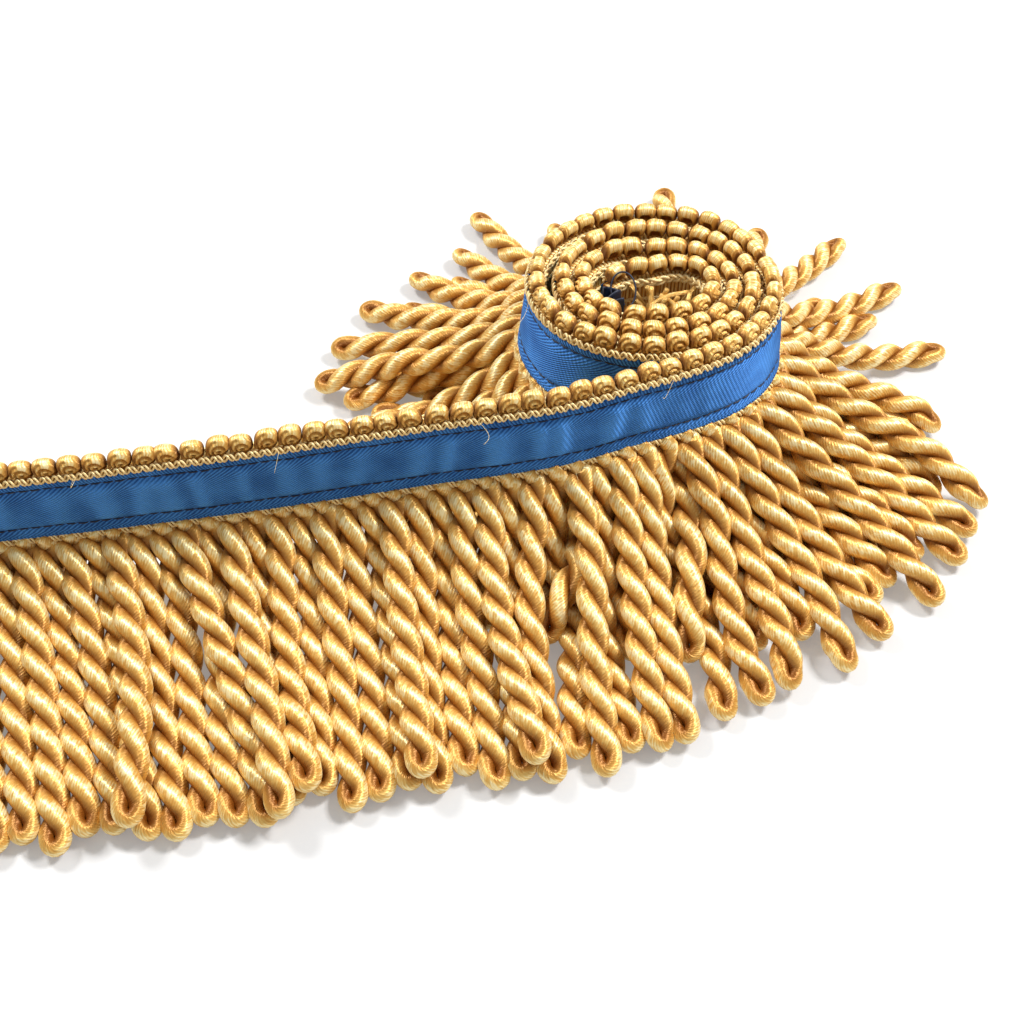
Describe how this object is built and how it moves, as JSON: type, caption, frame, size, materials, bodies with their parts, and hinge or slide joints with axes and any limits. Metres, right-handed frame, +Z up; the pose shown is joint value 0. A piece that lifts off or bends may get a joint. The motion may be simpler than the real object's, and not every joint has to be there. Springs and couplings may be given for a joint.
{
  "type": "cord fringe trim",
  "caption": "Gold bullion cord fringe trim with a beaded gimp edge and a blue satin ribbon along its woven heading, loosely rolled on its splayed cords with a straight loose end.",
  "frame": {"origin": "middle of the trim's footprint, on the surface it lies on", "axes": "+X runs along the straight loose end towards the roll, the longest way across; +Y points away from the skirt of the loose end; +Z is up, along the axis of the roll"},
  "size_m": [0.2142, 0.1938, 0.0439],
  "materials": {
    "heading_weave": "matte woven gold yarn",
    "blue_satin": "satin weave with a soft sheen",
    "gold_gimp": "lustrous thick rayon gimp yarn",
    "gold_cord": "lustrous twisted rayon cord"
  },
  "bodies": {
    "root": {"woven_heading": "heading_weave", "satin_ribbon": "blue_satin", "gimp_edge": "gold_gimp", "bullion_fringe": "gold_cord"}
  },
  "joints": []
}
